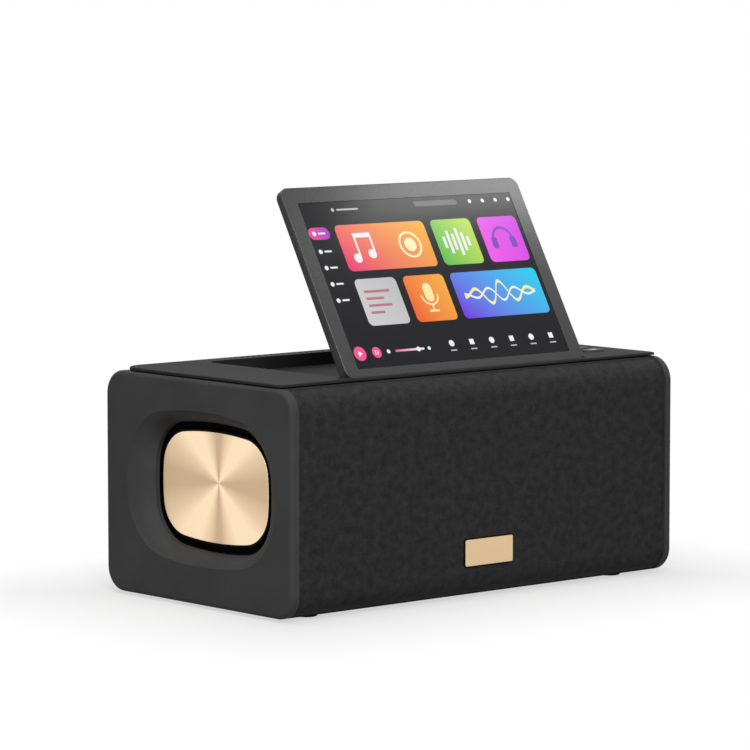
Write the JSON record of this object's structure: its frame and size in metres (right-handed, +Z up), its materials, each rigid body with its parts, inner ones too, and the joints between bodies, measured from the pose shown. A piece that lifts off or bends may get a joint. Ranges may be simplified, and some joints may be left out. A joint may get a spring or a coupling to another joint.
{
  "type": "karaoke machine",
  "caption": "Box-shaped karaoke speaker with a fabric front, gold radiator plates in its dished ends, and a touch screen that tilts up from a well in the lid.",
  "frame": {"origin": "middle of the footprint, on the surface that the feet stand on", "axes": "+X to the right along the front, +Y to the back, +Z up"},
  "size_m": [0.402, 0.226, 0.3198],
  "materials": {
    "black_plastic": "fine matte black moulding",
    "grille_plastic": "matte black",
    "lid_plastic": "satin charcoal",
    "grille_fabric": "black acoustic weave",
    "gold_metal": "spun and anodised pale gold",
    "rubber": "soft matte black",
    "steel": "plain steel",
    "nickel": "nickel plate",
    "frame_plastic": "glass-filled black",
    "pressed_steel": "black coated pressing",
    "ferrite": "dark ferrite and steel",
    "cone_paper": "black pulp",
    "key_plastic": "satin grey",
    "circuit_board": "green solder mask",
    "bezel_plastic": "satin dark grey",
    "screen_glass": "clear touch glass",
    "display": "dark display",
    "socket_plastic": "black",
    "heat_sink_metal": "black anodised",
    "cell_sleeve": "blue sleeve over metal cans"
  },
  "bodies": {
    "cabinet": {"cabinet_shell": "black_plastic", "left_end_cap": "black_plastic", "right_end_cap": "black_plastic", "rear_panel": "black_plastic", "front_baffle": "black_plastic", "grille_frame": "grille_plastic", "top_vent": "grille_plastic", "top_panel": "lid_plastic", "grille_cloth": "grille_fabric", "badge_plate": "gold_metal", "left_surround": "rubber", "right_surround": "rubber", "left_woofer_surround": "rubber", "right_woofer_surround": "rubber", "rubber_feet": "rubber", "radiator_screws": "steel", "woofer_screws": "steel", "hinge_screws": "steel", "rear_panel_screws": "steel", "cap_screws": "steel", "battery_strap": "steel", "left_hinge_bracket": "steel", "right_hinge_bracket": "steel", "usb_port": "steel", "jack_nuts": "nickel", "left_radiator_frame": "frame_plastic", "right_radiator_frame": "frame_plastic", "left_woofer_basket": "pressed_steel", "right_woofer_basket": "pressed_steel", "left_woofer_magnet": "ferrite", "right_woofer_magnet": "ferrite", "key_board": "circuit_board", "main_board": "circuit_board", "microphone_jack_1": "socket_plastic", "microphone_jack_2": "socket_plastic", "aux_jack": "socket_plastic", "dc_inlet": "socket_plastic", "heat_sink": "heat_sink_metal", "battery_pack": "cell_sleeve"},
    "screen": {"screen_back_cover": "bezel_plastic", "screen_bezel": "bezel_plastic", "touch_glass": "screen_glass", "lcd_panel": "display", "screen_board": "circuit_board", "hinge_pins": "steel"},
    "left_radiator": {"left_radiator_plate": "gold_metal", "left_radiator_weight": "steel"},
    "right_radiator": {"right_radiator_plate": "gold_metal", "right_radiator_weight": "steel"},
    "left_cone": {"left_woofer_cone": "cone_paper"},
    "right_cone": {"right_woofer_cone": "cone_paper"},
    "mode_button": {"mode_key": "key_plastic"},
    "volume_down_button": {"volume_down_key": "key_plastic"},
    "volume_up_button": {"volume_up_key": "key_plastic"},
    "power_button": {"power_key": "key_plastic"}
  },
  "joints": [
    {"name": "screen_hinge", "type": "hinge", "parent": "cabinet", "child": "screen", "pos_m": [0, -0.0852, 0.1755], "axis": [1, 0, 0], "range_deg": [-60, 15]},
    {"name": "left_radiator_slide", "type": "slide", "parent": "cabinet", "child": "left_radiator", "axis": [1, 0, 0], "range_m": [-0.003, 0.003], "stiffness_N_per_m": 1500},
    {"name": "left_cone_slide", "type": "slide", "parent": "cabinet", "child": "left_cone", "axis": [0, 1, 0], "range_m": [-0.002, 0.002], "stiffness_N_per_m": 1200},
    {"name": "right_radiator_slide", "type": "slide", "parent": "cabinet", "child": "right_radiator", "axis": [1, 0, 0], "range_m": [-0.003, 0.003], "stiffness_N_per_m": 1500},
    {"name": "right_cone_slide", "type": "slide", "parent": "cabinet", "child": "right_cone", "axis": [0, 1, 0], "range_m": [-0.002, 0.002], "stiffness_N_per_m": 1200},
    {"name": "mode_press", "type": "slide", "parent": "cabinet", "child": "mode_button", "axis": [0, 0, -1], "range_m": [0, 0.001], "stiffness_N_per_m": 600, "springref_m": -0.0005},
    {"name": "volume_down_press", "type": "slide", "parent": "cabinet", "child": "volume_down_button", "axis": [0, 0, -1], "range_m": [0, 0.001], "stiffness_N_per_m": 600, "springref_m": -0.0005},
    {"name": "volume_up_press", "type": "slide", "parent": "cabinet", "child": "volume_up_button", "axis": [0, 0, -1], "range_m": [0, 0.001], "stiffness_N_per_m": 600, "springref_m": -0.0005},
    {"name": "power_press", "type": "slide", "parent": "cabinet", "child": "power_button", "axis": [0, 0, -1], "range_m": [0, 0.001], "stiffness_N_per_m": 600, "springref_m": -0.0005}
  ]
}
